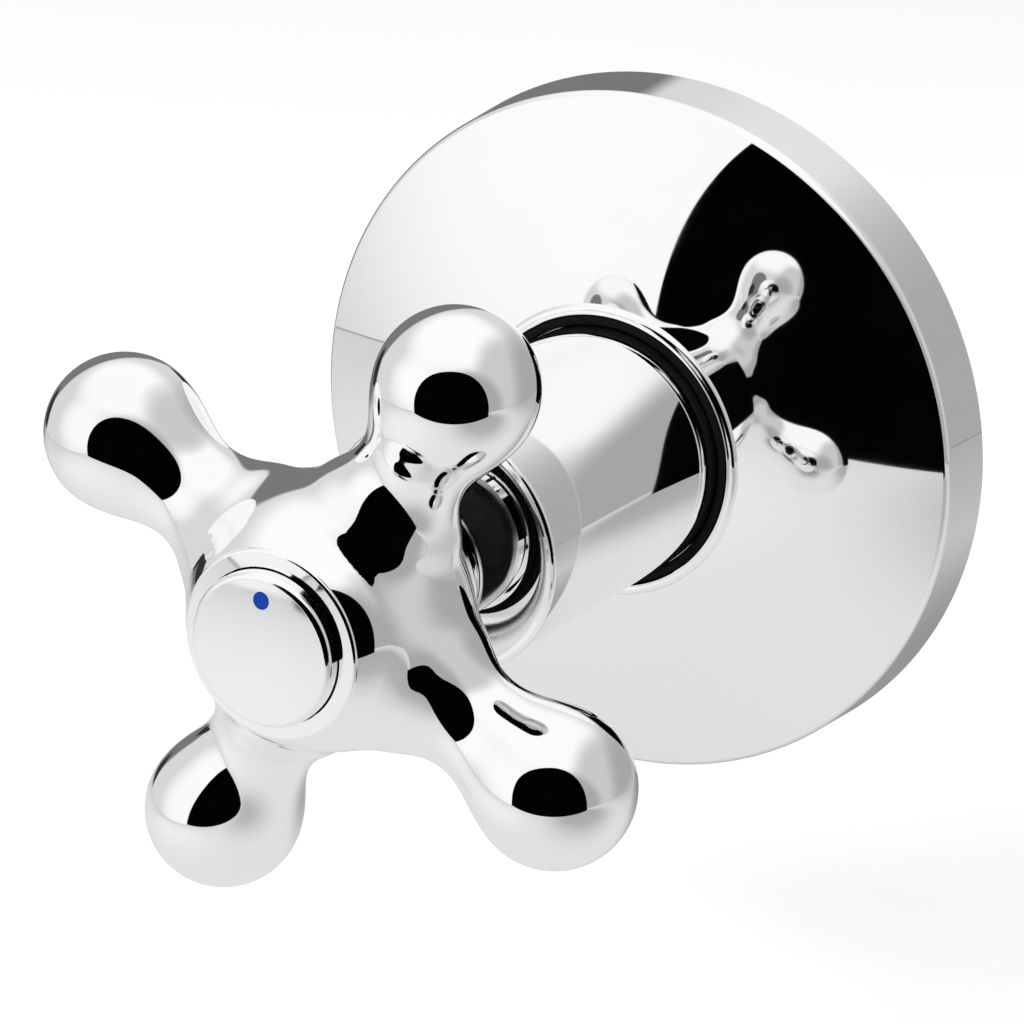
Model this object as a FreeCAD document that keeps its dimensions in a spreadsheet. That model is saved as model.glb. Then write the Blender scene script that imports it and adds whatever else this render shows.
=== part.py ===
"""A concealed shower stop tap in millimetres: cross handle, sleeve, domed wall plate and ceramic headwork.

The wall's face is the plane Y = 0, the tap's axis is the Y axis and the tap stands out towards -Y,
with +Z up. A "reach" is a distance out from the wall's face, so a point's Y is minus its reach, and a
negative reach lies inside the wall. The handle is stored closed, with its index dot at the top.
"""
import FreeCAD, Part
import math
import os
import Sketcher

# Driving dimensions
SIZES = {
    # Clearances
    "fine_gap": 0.03,
    "thread_gap": 0.05,
    "seat_gap": 0.2,
    # Spindle
    "journal_radius": 4.5,
    "journal_fit": 0.05,
    "journal_proud": 2.4,
    "flange_thickness": 2.0,
    "flange_gap": 0.6,
    "blade_width": 3.0,
    "blade_inset": 2.85,
    "blade_bite": 1.4,
    "clip_groove_depth": 0.9,
    "clip_thickness": 0.8,
    "clip_width": 2.67,
    "clip_mouth_width": 5.4,
    "clip_play": 0.15,
    "outer_ring_setback": 6.2,
    "ring_spacing": 4.2,
    "spindle_ring_section": 1.0,
    # Splines
    "spline_step": 0.6,
    "spline_depth": 0.45,
    "spline_teeth": 20.0,
    "spline_groove_degrees": 9.0,
    "spline_space": 0.06,
    "spline_play_degrees": 0.7,
    "spline_grip": 11.8,
    # Spindle extension
    "extension_setback": 2.2,
    "extension_wall": 2.04,
    "extension_collar": 0.8,
    "extension_collar_length": 10.2,
    "extension_front_gap": 0.4,
    "extension_tap_depth": 12.0,
    "extension_socket_gap": 0.6,
    "spline_overrun": 0.3,
    "grub_setback": 5.4,
    "grub_radius": 1.5,
    "grub_hex_radius": 0.85,
    "grub_hex_depth": 1.0,
    # Cross handle
    "neck_gap": 0.6,
    "neck_wall": 0.5,
    "groove_depth": 0.75,
    "bead_step": 0.4,
    "neck_depth": 4.85,
    "neck_length": 6.5,
    "groove_width": 1.1,
    "bead_width": 2.2,
    "flare_curve": 27.0,
    "flare_length": 10.0,
    "hub_swell": 1.4,
    "hub_belly": 4.35,
    "hub_rise": 11.35,
    "hub_ring_crest": 0.1,
    "hub_ring_width": 1.65,
    "hub_edge_round": 0.35,
    "ball_radius": 7.7,
    "ball_distance": 26.9,
    "arm_neck_radius": 5.3,
    "arm_neck_setback": 8.3,
    "arm_count": 4.0,
    "rest_angle": 29.4,
    "cap_bore_depth": 4.1,
    "washer_bore_step": 2.0,
    "washer_bore_depth": 2.4,
    "web_thickness": 3.2,
    "insert_wall": 1.7,
    "socket_depth": 14.7,
    "key_width": 2.4,
    "key_height": 1.0,
    # Index cap and dot
    "cap_gap": 0.12,
    "cap_seat_gap": 0.5,
    "cap_height": 5.3,
    "cap_edge_round": 0.6,
    "cap_crown": 0.3,
    "cap_skirt_wall": 1.24,
    "cap_face_thickness": 1.6,
    "cap_ring_setback": 2.1,
    "cap_ring_section": 1.0,
    "dot_radius": 0.85,
    "dot_distance": 5.1,
    "dot_depth": 0.8,
    "dot_proud": 0.03,
    "dot_angle": 5.0,
    # Screw and washer
    "screw_radius": 2.5,
    "screw_gap": 0.25,
    "screw_length": 13.0,
    "screw_head_radius": 4.6,
    "screw_head_height": 3.0,
    "screw_head_round": 1.6,
    "recess_width": 1.2,
    "recess_length": 5.2,
    "recess_depth": 1.6,
    "washer_gap": 0.3,
    "washer_thickness": 0.8,
    # Sleeve
    "glide_fit": 0.05,
    "glide_wall": 0.85,
    "glide_flange_width": 1.4,
    "glide_flange_depth": 1.1,
    "floor_ledge": 1.15,
    "floor_wall": 2.6,
    "mouth_slope": 2.25,
    "mouth_depth": 5.75,
    "mouth_curve": 7.5,
    "mouth_lip": 0.87,
    "sleeve_taper": 0.51,
    "sleeve_plain_length": 11.4,
    "sleeve_length": 41.5,
    "sleeve_edge_round": 0.5,
    "sleeve_wall": 1.48,
    "sleeve_shoulder": 0.7,
    # Headwork housing
    "hex_rear_reach": -2.0,
    "hex_height": 6.4,
    "hex_step": 0.7,
    "hex_sides": 6.0,
    "boss_height": 9.6,
    "housing_neck_height": 6.0,
    "housing_neck_wall": 2.95,
    "relief_length": 2.0,
    "relief_depth": 0.88,
    "thread_radius": 10.48,
    "thread_length": 9.0,
    "skirt_step": 1.18,
    "skirt_wall": 1.4,
    "roof_setback": 2.0,
    "chamber_depth": 19.0,
    "window_width": 9.0,
    "window_height": 4.6,
    "shoulder_ring_section": 1.9,
    "slide_washer_thickness": 0.8,
    # Ceramic discs and seat seal
    "moving_disc_gap": 0.35,
    "fixed_disc_gap": 0.1,
    "disc_gap": 5.0,
    "disc_thickness": 3.8,
    "port_inner_radius": 2.3,
    "port_wall": 1.7,
    "port_degrees": 76.0,
    "lug_height": 0.8,
    "lug_width": 3.0,
    "lug_gap": 0.1,
    "seal_wall": 2.45,
    "seal_proud": 1.0,
    # Wall plate
    "plate_radius": 37.5,
    "lip_inset": 0.5,
    "rim_height": 6.7,
    "bevel_width": 0.55,
    "bevel_height": 0.9,
    "edge_round": 1.1,
    "dome_radius": 110.0,
    "plate_wall": 1.2,
    "plate_gap": 0.12,
    "collar_bead_width": 1.1,
    "collar_bead_rise": 0.4,
    "collar_bead_round": 0.7,
    "collar_wall": 2.4,
    "collar_length": 3.6,
    "plate_ring_inset": 0.15,
    "plate_ring_section": 1.16,
    "wall_seal_width": 3.0,
    "wall_seal_depth": 2.5,
}

doc = FreeCAD.newDocument("shower_tap")
sheet = doc.addObject("Spreadsheet::Sheet", "Sizes")
VALUES = {}


def keep(alias, value, entry):
    """Give a size a row of its own in the sheet."""
    VALUES[alias] = value
    row = len(VALUES)
    sheet.set("A%d" % row, alias)
    sheet.set("B%d" % row, entry)
    sheet.setAlias("B%d" % row, alias)


for name in SIZES:
    keep(name, SIZES[name], repr(SIZES[name]))


class Size:
    """A length or number worked out from the sheet, with the formula that keeps it bound to the sheet."""

    def __init__(self, value, formula):
        self.value = value
        self.formula = formula

    def __add__(self, other):
        other = as_size(other)
        return Size(self.value + other.value, "(%s + %s)" % (self.formula, other.formula))

    def __sub__(self, other):
        other = as_size(other)
        return Size(self.value - other.value, "(%s - %s)" % (self.formula, other.formula))

    def __mul__(self, other):
        other = as_size(other)
        return Size(self.value * other.value, "(%s * %s)" % (self.formula, other.formula))

    def __truediv__(self, other):
        other = as_size(other)
        return Size(self.value / other.value, "(%s / %s)" % (self.formula, other.formula))

    def __radd__(self, other):
        return as_size(other) + self

    def __rsub__(self, other):
        return as_size(other) - self

    def __rmul__(self, other):
        return as_size(other) * self

    def __neg__(self):
        return Size(-self.value, "(-%s)" % self.formula)


def as_size(number):
    """Wrap a plain number, so that it can be added to a Size."""
    if isinstance(number, Size):
        return number
    return Size(float(number), "(%r)" % float(number))


def root(size):
    """The square root of a Size."""
    return Size(math.sqrt(size.value), "sqrt(%s)" % size.formula)


def sine(degrees):
    """The sine of a Size in degrees."""
    return Size(math.sin(math.radians(degrees.value)), "sin(%s * 1 deg)" % degrees.formula)


def cosine(degrees):
    """The cosine of a Size in degrees."""
    return Size(math.cos(math.radians(degrees.value)), "cos(%s * 1 deg)" % degrees.formula)


def size(alias):
    """The named size."""
    return Size(VALUES[alias], "Sizes.%s" % alias)


def square(length):
    """The square of a Size."""
    return length * length


def derive(alias, amount):
    """Keep a size that follows from others under a name of its own in the sheet."""
    keep(alias, amount.value, "=" + amount.formula.replace("Sizes.", ""))


ZERO = as_size(0)
HALF = as_size(0.5)
HALF_TURN = as_size(180)
NODES = []

# Radii, from the spindle outwards
derive("spline_radius", size("journal_radius") - size("spline_step"))
derive("spline_root_radius", size("spline_radius") - size("spline_depth"))
derive("spline_run_radius", size("spline_radius") + size("spline_depth"))
derive("clip_groove_radius", size("journal_radius") - size("clip_groove_depth"))
derive("clip_radius", size("clip_groove_radius") + size("fine_gap") + size("clip_width"))
derive("housing_bore_radius", size("journal_radius") + size("journal_fit"))
derive("housing_neck_radius", size("housing_bore_radius") + size("housing_neck_wall"))
derive("extension_socket_radius", size("spline_radius") + size("spline_space"))
derive("extension_radius", size("extension_socket_radius") + size("extension_wall"))
derive("extension_collar_radius", size("spline_radius") + size("extension_collar"))
derive("neck_bore_radius", size("extension_radius") + size("neck_gap"))
derive("groove_radius", size("neck_bore_radius") + size("neck_wall"))
derive("neck_radius", size("groove_radius") + size("groove_depth"))
derive("bead_radius", size("neck_radius") - size("bead_step"))
derive("hub_radius", size("neck_radius") + size("hub_swell"))
derive("cap_bore_radius", size("hub_radius") - size("hub_ring_width"))
derive("washer_bore_radius", size("cap_bore_radius") - size("washer_bore_step"))
derive("washer_radius", size("washer_bore_radius") - size("washer_gap"))
derive("screw_hole_radius", size("screw_radius") + size("screw_gap"))
derive("socket_radius", size("spline_radius") + size("insert_wall"))
derive("cap_radius", size("cap_bore_radius") - size("cap_gap"))
derive("glide_bore_radius", size("neck_radius") + size("glide_fit"))
derive("glide_hole_radius", size("glide_bore_radius") + size("glide_wall"))
derive("floor_radius", size("glide_hole_radius") + size("floor_ledge"))
derive("mouth_radius", size("floor_radius") + size("mouth_slope"))
derive("sleeve_front_radius", size("mouth_radius") + size("mouth_lip"))
derive("sleeve_radius", size("sleeve_front_radius") + size("sleeve_taper"))
derive("sleeve_thread_radius", size("sleeve_radius") - size("sleeve_wall"))
derive("boss_radius", size("sleeve_thread_radius") - size("thread_gap"))
derive("sleeve_bore_radius", size("boss_radius") - size("sleeve_shoulder"))
derive("plate_bore_radius", size("sleeve_radius") + size("plate_gap"))

# Radii of the headwork, from its pipe thread inwards
derive("relief_radius", size("thread_radius") - size("relief_depth"))
derive("skirt_radius", size("thread_radius") - size("skirt_step"))
derive("chamber_radius", size("skirt_radius") - size("skirt_wall"))
derive("flange_radius", size("chamber_radius") - size("flange_gap"))
derive("moving_disc_radius", size("chamber_radius") - size("moving_disc_gap"))
derive("fixed_disc_radius", size("chamber_radius") - size("fixed_disc_gap"))
derive("port_outer_radius", size("fixed_disc_radius") - size("port_wall"))
derive("lug_radius", size("fixed_disc_radius") + size("lug_height"))
derive("seal_radius", size("chamber_radius") - size("thread_gap"))
derive("seal_bore_radius", size("seal_radius") - size("seal_wall"))
derive("blade_length", (size("moving_disc_radius") - size("blade_inset")) * 2)

# Radii and reaches of the wall plate
derive("lip_radius", size("plate_radius") - size("lip_inset"))
derive("dome_edge_radius", size("lip_radius") - size("bevel_width"))
derive("dome_edge_reach", size("rim_height") + size("bevel_height"))
derive("inner_dome_radius", size("dome_radius") - size("plate_wall"))
derive("dome_centre_reach", size("dome_edge_reach")
       - root(square(size("dome_radius")) - square(size("dome_edge_radius"))))
derive("collar_bead_inner", size("sleeve_radius") + size("plate_ring_section") + size("fine_gap") * 2)
derive("collar_bead_outer", size("collar_bead_inner") + size("collar_bead_width"))
derive("collar_bead_reach", size("dome_centre_reach")
       + root(square(size("dome_radius")) - square(size("collar_bead_outer"))))
derive("inside_rim_radius", size("lip_radius") - size("plate_wall"))
derive("inside_rim_reach", size("dome_centre_reach")
       + root(square(size("inner_dome_radius")) - square(size("inside_rim_radius"))))
derive("plate_ring_reach", size("collar_bead_reach") - size("plate_ring_inset"))
derive("ring_seat_reach", size("plate_ring_reach") - size("plate_ring_section") * HALF - size("fine_gap"))
derive("collar_rear_reach", size("ring_seat_reach") - size("collar_length"))

# Reaches of the headwork, from its hexagon both ways
derive("hex_front_reach", size("hex_rear_reach") + size("hex_height"))
derive("boss_front_reach", size("hex_front_reach") + size("boss_height"))
derive("housing_front_reach", size("boss_front_reach") + size("housing_neck_height"))
derive("thread_front_reach", size("hex_rear_reach") - size("relief_length"))
derive("thread_rear_reach", size("thread_front_reach") - size("thread_length"))
derive("chamber_roof_reach", size("thread_rear_reach") + size("roof_setback"))
derive("skirt_rear_reach", size("chamber_roof_reach") - size("chamber_depth"))
derive("outer_ring_reach", size("housing_front_reach") - size("outer_ring_setback"))
derive("inner_ring_reach", size("outer_ring_reach") - size("ring_spacing"))
derive("journal_front_reach", size("housing_front_reach") + size("journal_proud"))
derive("flange_front_reach", size("chamber_roof_reach") - size("slide_washer_thickness") - size("fine_gap"))
derive("flange_rear_reach", size("flange_front_reach") - size("flange_thickness"))
derive("disc_front_reach", size("flange_rear_reach") - size("disc_gap"))
derive("disc_meeting_reach", size("disc_front_reach") - size("disc_thickness"))
derive("disc_rear_reach", size("disc_meeting_reach") - size("disc_thickness"))

# Reaches of the sleeve and the handle
derive("sleeve_rear_reach", size("hex_front_reach") + size("seat_gap"))
derive("sleeve_taper_reach", size("sleeve_rear_reach") + size("sleeve_plain_length"))
derive("sleeve_front_reach", size("sleeve_rear_reach") + size("sleeve_length"))
derive("floor_reach", size("sleeve_front_reach") - size("mouth_depth"))
derive("floor_rear_reach", size("floor_reach") - size("floor_wall"))
derive("neck_rear_reach", size("floor_reach") - size("neck_depth"))
derive("neck_step_reach", size("neck_rear_reach") + size("neck_length"))
derive("groove_front_reach", size("neck_step_reach") + size("groove_width"))
derive("bead_front_reach", size("groove_front_reach") + size("bead_width"))
derive("flare_front_reach", size("bead_front_reach") + size("flare_length"))
derive("ball_reach", size("flare_front_reach") + size("hub_radius"))
derive("hub_ring_reach", size("ball_reach") + size("hub_rise"))
derive("ring_crest_reach", size("hub_ring_reach") + size("hub_ring_crest"))
derive("cap_bore_reach", size("hub_ring_reach") - size("cap_bore_depth"))
derive("washer_bore_reach", size("cap_bore_reach") - size("washer_bore_depth"))
derive("web_rear_reach", size("washer_bore_reach") - size("web_thickness"))
derive("socket_rear_reach", size("web_rear_reach") - size("socket_depth"))
derive("cap_rear_reach", size("cap_bore_reach") + size("cap_seat_gap"))
derive("cap_front_reach", size("cap_rear_reach") + size("cap_height"))
derive("cap_ring_reach", size("cap_rear_reach") + size("cap_ring_setback"))
derive("under_head_reach", size("washer_bore_reach") + size("washer_thickness"))

# Reaches of the spindle extension, which spans the gap between the spindle and the handle
derive("extension_rear_reach", size("journal_front_reach") + size("extension_setback"))
derive("spindle_front_reach", size("extension_rear_reach") + size("spline_grip"))
derive("extension_socket_reach", size("spindle_front_reach") + size("extension_socket_gap"))
derive("extension_front_reach", size("web_rear_reach") - size("extension_front_gap"))
derive("extension_spline_reach", size("socket_rear_reach") - size("spline_overrun"))
derive("extension_shoulder_reach", size("extension_spline_reach") - size("extension_collar_length"))
derive("grub_reach", size("extension_rear_reach") + size("grub_setback"))
doc.recompute()


def new_body(label):
    """A body whose label names its node."""
    body = doc.addObject("PartDesign::Body", label)
    body.Label = label
    NODES.append(body)
    return body


def origin_feature(body, role):
    """The body's own origin plane or axis with the given role."""
    return [item for item in body.Origin.OriginFeatures if item.Role == role][0]


def arc_centre(start, end, radius, side):
    """Centre of an arc from start to end that lies on the given side of the way from start to end."""
    chord = end - start
    middle = (start + end) * 0.5
    height = math.sqrt(max(radius ** 2 - (chord.Length / 2) ** 2, 0))
    left = FreeCAD.Vector(-chord.y, chord.x, 0).normalize()
    return middle + left * (height if side == "left" else -height)


def draw(body, name, role, outline, lift=ZERO):
    """Sketch a closed outline on an origin plane of the body, moved along the plane's normal by lift.

    Each point is (across, up), or (across, up, radius, side) where an arc runs on to the next point with
    its centre on that side. Every point and radius is bound to the sheet.
    """
    sketch = body.newObject("Sketcher::SketchObject", name)
    sketch.AttachmentSupport = (origin_feature(body, role), [""])
    sketch.MapMode = "FlatFace"
    sketch.AttachmentOffset = FreeCAD.Placement(FreeCAD.Vector(0, 0, lift.value), FreeCAD.Rotation())
    sketch.setExpression("AttachmentOffset.Base.z", lift.formula)
    places = [FreeCAD.Vector(as_size(point[0]).value, as_size(point[1]).value, 0) for point in outline]
    count = len(outline)
    start_ends = []
    for index, point in enumerate(outline):
        start = places[index]
        end = places[(index + 1) % count]
        if len(point) == 2:
            sketch.addGeometry(Part.LineSegment(start, end), False)
            start_ends.append((1, 2))
            continue
        centre = arc_centre(start, end, point[2].value, point[3])
        circle = Part.Circle(centre, FreeCAD.Vector(0, 0, 1), point[2].value)
        turn_from = start if point[3] == "left" else end
        turn_to = end if point[3] == "left" else start
        from_angle = math.atan2(turn_from.y - centre.y, turn_from.x - centre.x)
        to_angle = math.atan2(turn_to.y - centre.y, turn_to.x - centre.x)
        sketch.addGeometry(Part.ArcOfCircle(circle, from_angle, to_angle), False)
        start_ends.append((1, 2) if point[3] == "left" else (2, 1))
    for index in range(count):
        following = (index + 1) % count
        sketch.addConstraint(Sketcher.Constraint(
            "Coincident", index, start_ends[index][1], following, start_ends[following][0]))
    for index, point in enumerate(outline):
        corner = start_ends[index][0]
        bind(sketch, "DistanceX", index, corner, as_size(point[0]))
        bind(sketch, "DistanceY", index, corner, as_size(point[1]))
        if len(point) == 4:
            number = sketch.addConstraint(Sketcher.Constraint("Radius", index, point[2].value))
            sketch.setExpression("Constraints[%d]" % number, point[2].formula)
    return sketch


def draw_round(body, name, role, across, up, radius, lift=ZERO):
    """Sketch a circle on an origin plane of the body, moved along the plane's normal by lift."""
    sketch = body.newObject("Sketcher::SketchObject", name)
    sketch.AttachmentSupport = (origin_feature(body, role), [""])
    sketch.MapMode = "FlatFace"
    sketch.AttachmentOffset = FreeCAD.Placement(FreeCAD.Vector(0, 0, lift.value), FreeCAD.Rotation())
    sketch.setExpression("AttachmentOffset.Base.z", lift.formula)
    centre = FreeCAD.Vector(across.value, up.value, 0)
    sketch.addGeometry(Part.Circle(centre, FreeCAD.Vector(0, 0, 1), radius.value), False)
    bind(sketch, "DistanceX", 0, 3, across)
    bind(sketch, "DistanceY", 0, 3, up)
    number = sketch.addConstraint(Sketcher.Constraint("Radius", 0, radius.value))
    sketch.setExpression("Constraints[%d]" % number, radius.formula)
    return sketch


def bind(sketch, kind, edge, corner, amount):
    """Hold one coordinate of a sketch point at a Size, or on the axis where it is zero."""
    if amount.value == 0:
        axis = -2 if kind == "DistanceX" else -1
        sketch.addConstraint(Sketcher.Constraint("PointOnObject", edge, corner, axis))
        return
    number = sketch.addConstraint(Sketcher.Constraint(kind, edge, corner, amount.value))
    sketch.setExpression("Constraints[%d]" % number, amount.formula)


def outward(outline):
    """Turn (radius, reach) points into sketch points, whose second coordinate is Y."""
    turned_points = []
    for point in outline:
        if len(point) == 2:
            turned_points.append((point[0], -as_size(point[1])))
        else:
            other_side = "right" if point[3] == "left" else "left"
            turned_points.append((point[0], -as_size(point[1]), point[2], other_side))
    return turned_points


def turn(body, name, outline, cut=False):
    """Turn an outline of (radius, reach) points about the tap's axis, as a solid or as a cut."""
    sketch = draw(body, name + "_outline", "XY_Plane", outward(outline))
    return turn_sketch(body, name, sketch, cut)


def turn_sketch(body, name, sketch, cut=False, edge="V_Axis"):
    """Turn a sketch about its own vertical axis, which is the tap's axis, or about one of its edges."""
    kind = "PartDesign::Groove" if cut else "PartDesign::Revolution"
    feature = body.newObject(kind, name)
    feature.Profile = sketch
    feature.ReferenceAxis = (sketch, [edge])
    feature.Angle = 360
    sketch.Visibility = False
    doc.recompute()
    return feature


def extrude(body, name, outline, reach, length, cut=False):
    """Extrude a cross-section, drawn in X and Z, towards the wall from the given reach."""
    sketch = draw(body, name + "_outline", "XZ_Plane", outline, reach)
    return extrude_sketch(body, name, sketch, length, cut)


def extrude_sketch(body, name, sketch, length, cut=False):
    """Extrude a sketch of a cross-section towards the wall."""
    kind = "PartDesign::Pocket" if cut else "PartDesign::Pad"
    feature = body.newObject(kind, name)
    feature.Profile = sketch
    feature.Type = "Length"
    feature.setExpression("Length", length.formula)
    feature.Length = length.value
    feature.Reversed = not cut
    doc.recompute()
    return feature


def extrude_across(body, name, outline, length):
    """Cut an outline, drawn in X and Y, through the body along Z, half of the length to each side."""
    sketch = draw(body, name + "_outline", "XY_Plane", outline)
    feature = body.newObject("PartDesign::Pocket", name)
    feature.Profile = sketch
    feature.Type = "Length"
    feature.setExpression("Length", length.formula)
    feature.Length = length.value
    feature.Midplane = True
    doc.recompute()
    return feature


def repeat(body, name, feature, count):
    """Repeat a feature evenly about the tap's axis."""
    pattern = body.newObject("PartDesign::PolarPattern", name)
    pattern.Originals = [feature]
    pattern.Axis = (origin_feature(body, "Y_Axis"), [""])
    pattern.Angle = 360
    pattern.Occurrences = int(count.value)
    pattern.setExpression("Occurrences", count.formula)
    body.Tip = pattern
    doc.recompute()
    return pattern


def polar(distance, degrees):
    """A cross-section point at a distance from the axis and an angle from +X towards +Z."""
    return (distance * cosine(degrees), distance * sine(degrees))


def wedge(inner, outer, middle, spread):
    """A ring sector between two radii, about a middle angle."""
    low = middle - spread * HALF
    high = middle + spread * HALF
    return [
        polar(outer, low) + (outer, "left"),
        polar(outer, high),
        polar(inner, high) + (inner, "right"),
        polar(inner, low),
    ]


def box_outline(width, low, high):
    """A rectangle centred on X = 0 between two heights."""
    half_width = width * HALF
    return [(-half_width, low), (half_width, low), (half_width, high), (-half_width, high)]


def ring_of(label, middle_radius, section_radius, reach):
    """An O-ring: a round section turned about the tap's axis."""
    body = new_body(label)
    sketch = draw_round(body, label + "_section", "XY_Plane", middle_radius, -reach, section_radius)
    return turn_sketch(body, label + "_turned", sketch)


def flank_angle(radius):
    """Half the angle across a male spline's tooth space at a radius: the space widens outwards."""
    narrow = size("spline_groove_degrees") * HALF * HALF
    rise = (radius - size("spline_root_radius")) / (size("spline_run_radius") - size("spline_root_radius"))
    return narrow + narrow * rise


def spline_grooves(body, name, front_reach, length):
    """Cut the tooth spaces of a male spline from the given front reach towards the wall."""
    inner = size("spline_root_radius")
    outer = size("spline_run_radius")
    space = [
        polar(inner, -flank_angle(inner)),
        polar(outer, -flank_angle(outer)),
        polar(outer, flank_angle(outer)),
        polar(inner, flank_angle(inner)),
    ]
    groove = extrude(body, name, space, front_reach, length, cut=True)
    return repeat(body, name + "s", groove, size("spline_teeth"))


# Wall plate
def make_wall_plate():
    """Domed plate with a bevelled rim and a beaded collar that holds an O-ring against the sleeve."""
    bore = size("plate_bore_radius")
    collar = bore + size("collar_wall")
    inner_dome = size("inner_dome_radius")
    collar_root = size("dome_centre_reach") + root(square(inner_dome) - square(collar))
    body = new_body("wall_plate")
    turn(body, "plate_shell", [
        (size("plate_radius"), ZERO),
        (size("lip_radius"), size("rim_height"), size("edge_round"), "left"),
        (size("dome_edge_radius"), size("dome_edge_reach"), size("dome_radius"), "left"),
        (size("collar_bead_outer"), size("collar_bead_reach"), size("collar_bead_round"), "left"),
        (size("collar_bead_inner"), size("collar_bead_reach") + size("collar_bead_rise")),
        (size("collar_bead_inner"), size("ring_seat_reach")),
        (bore, size("ring_seat_reach")),
        (bore, size("collar_rear_reach")),
        (collar, size("collar_rear_reach")),
        (collar, collar_root, inner_dome, "right"),
        (size("inside_rim_radius"), size("inside_rim_reach")),
        (size("plate_radius") - size("plate_wall"), ZERO),
    ])


def make_wall_seal():
    """Soft flat ring inside the rim, flush with the wall's face."""
    rear = size("plate_radius") - size("plate_wall") - size("fine_gap")
    taper = size("lip_inset") / size("inside_rim_reach")
    front = rear - taper * size("wall_seal_depth")
    body = new_body("wall_seal")
    turn(body, "seal_ring", [
        (rear, ZERO),
        (front, size("wall_seal_depth")),
        (front - size("wall_seal_width"), size("wall_seal_depth")),
        (front - size("wall_seal_width"), ZERO),
    ])


def make_plate_ring():
    """O-ring between the plate's beaded collar and the sleeve, seen from the front."""
    section = size("plate_ring_section") * HALF
    middle = size("sleeve_radius") + section + size("fine_gap")
    ring_of("plate_ring", middle, section, size("plate_ring_reach"))


# Sleeve
def make_sleeve():
    """Shroud screwed onto the housing, with a dished mouth round the handle's neck."""
    floor_rear = size("floor_rear_reach")
    thread_front = size("boss_front_reach") + size("fine_gap")
    body = new_body("sleeve")
    turn(body, "sleeve_shell", [
        (size("sleeve_radius"), size("sleeve_rear_reach")),
        (size("sleeve_radius"), size("sleeve_taper_reach")),
        (size("sleeve_front_radius"), size("sleeve_front_reach") - size("sleeve_edge_round"),
         size("sleeve_edge_round"), "left"),
        (size("sleeve_front_radius") - size("sleeve_edge_round"), size("sleeve_front_reach")),
        (size("mouth_radius"), size("sleeve_front_reach"), size("mouth_curve"), "left"),
        (size("floor_radius"), size("floor_reach")),
        (size("glide_hole_radius"), size("floor_reach")),
        (size("glide_hole_radius"), floor_rear),
        (size("sleeve_bore_radius"), floor_rear),
        (size("sleeve_bore_radius"), thread_front),
        (size("sleeve_thread_radius"), thread_front),
        (size("sleeve_thread_radius"), size("sleeve_rear_reach")),
    ])


def make_glide_ring():
    """Slippery ring in the sleeve's floor that the handle's neck turns in."""
    bore = size("glide_bore_radius")
    outer = size("glide_hole_radius") - size("fine_gap")
    floor_rear = size("floor_rear_reach")
    flange = outer + size("glide_flange_width")
    body = new_body("glide_ring")
    turn(body, "glide_bush", [
        (bore, size("floor_reach")),
        (outer, size("floor_reach")),
        (outer, floor_rear),
        (flange, floor_rear),
        (flange, floor_rear - size("glide_flange_depth")),
        (bore, floor_rear - size("glide_flange_depth")),
    ])


# Cross handle
def make_cross_handle():
    """Cast round-bellied hub with a grooved neck and four arms that swell to balls."""
    web_rear = size("web_rear_reach")
    ring_crest = size("ring_crest_reach")
    hub_edge = size("hub_edge_round")
    hub_front = size("hub_ring_reach") - hub_edge
    half_hub = (hub_front - size("flare_front_reach")) * HALF
    hub_curve = (square(half_hub) + square(size("hub_belly"))) / (size("hub_belly") * 2)
    body = new_body("cross_handle")
    turn(body, "hub", [
        (ZERO, size("neck_rear_reach")),
        (size("neck_radius"), size("neck_rear_reach")),
        (size("neck_radius"), size("neck_step_reach")),
        (size("groove_radius"), size("neck_step_reach")),
        (size("groove_radius"), size("groove_front_reach")),
        (size("bead_radius"), size("groove_front_reach")),
        (size("bead_radius"), size("bead_front_reach"), size("flare_curve"), "right"),
        (size("hub_radius"), size("flare_front_reach"), hub_curve, "left"),
        (size("hub_radius"), hub_front, hub_edge, "left"),
        (size("hub_radius") - hub_edge, size("hub_ring_reach")),
        (size("cap_bore_radius"), ring_crest),
        (ZERO, ring_crest),
    ])
    arm = make_arm(body)
    repeat(body, "arms", arm, size("arm_count"))
    turn(body, "handle_bore", [
        (ZERO, ring_crest + hub_edge),
        (size("cap_bore_radius"), ring_crest + hub_edge),
        (size("cap_bore_radius"), size("cap_bore_reach")),
        (size("washer_bore_radius"), size("cap_bore_reach")),
        (size("washer_bore_radius"), size("washer_bore_reach")),
        (size("screw_hole_radius"), size("washer_bore_reach")),
        (size("screw_hole_radius"), web_rear),
        (size("socket_radius"), web_rear),
        (size("socket_radius"), size("socket_rear_reach")),
        (size("neck_bore_radius"), size("socket_rear_reach")),
        (size("neck_bore_radius"), size("neck_rear_reach") - hub_edge),
        (ZERO, size("neck_rear_reach") - hub_edge),
    ], cut=True)
    keyway_width = size("key_width") + size("fine_gap") * 2
    keyway_top = size("socket_radius") + size("key_height") + size("fine_gap")
    extrude(body, "keyways", box_outline(keyway_width, -keyway_top, keyway_top),
            web_rear, size("socket_depth") + hub_edge, cut=True)
    turn_by(body, "rest_angle")


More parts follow.
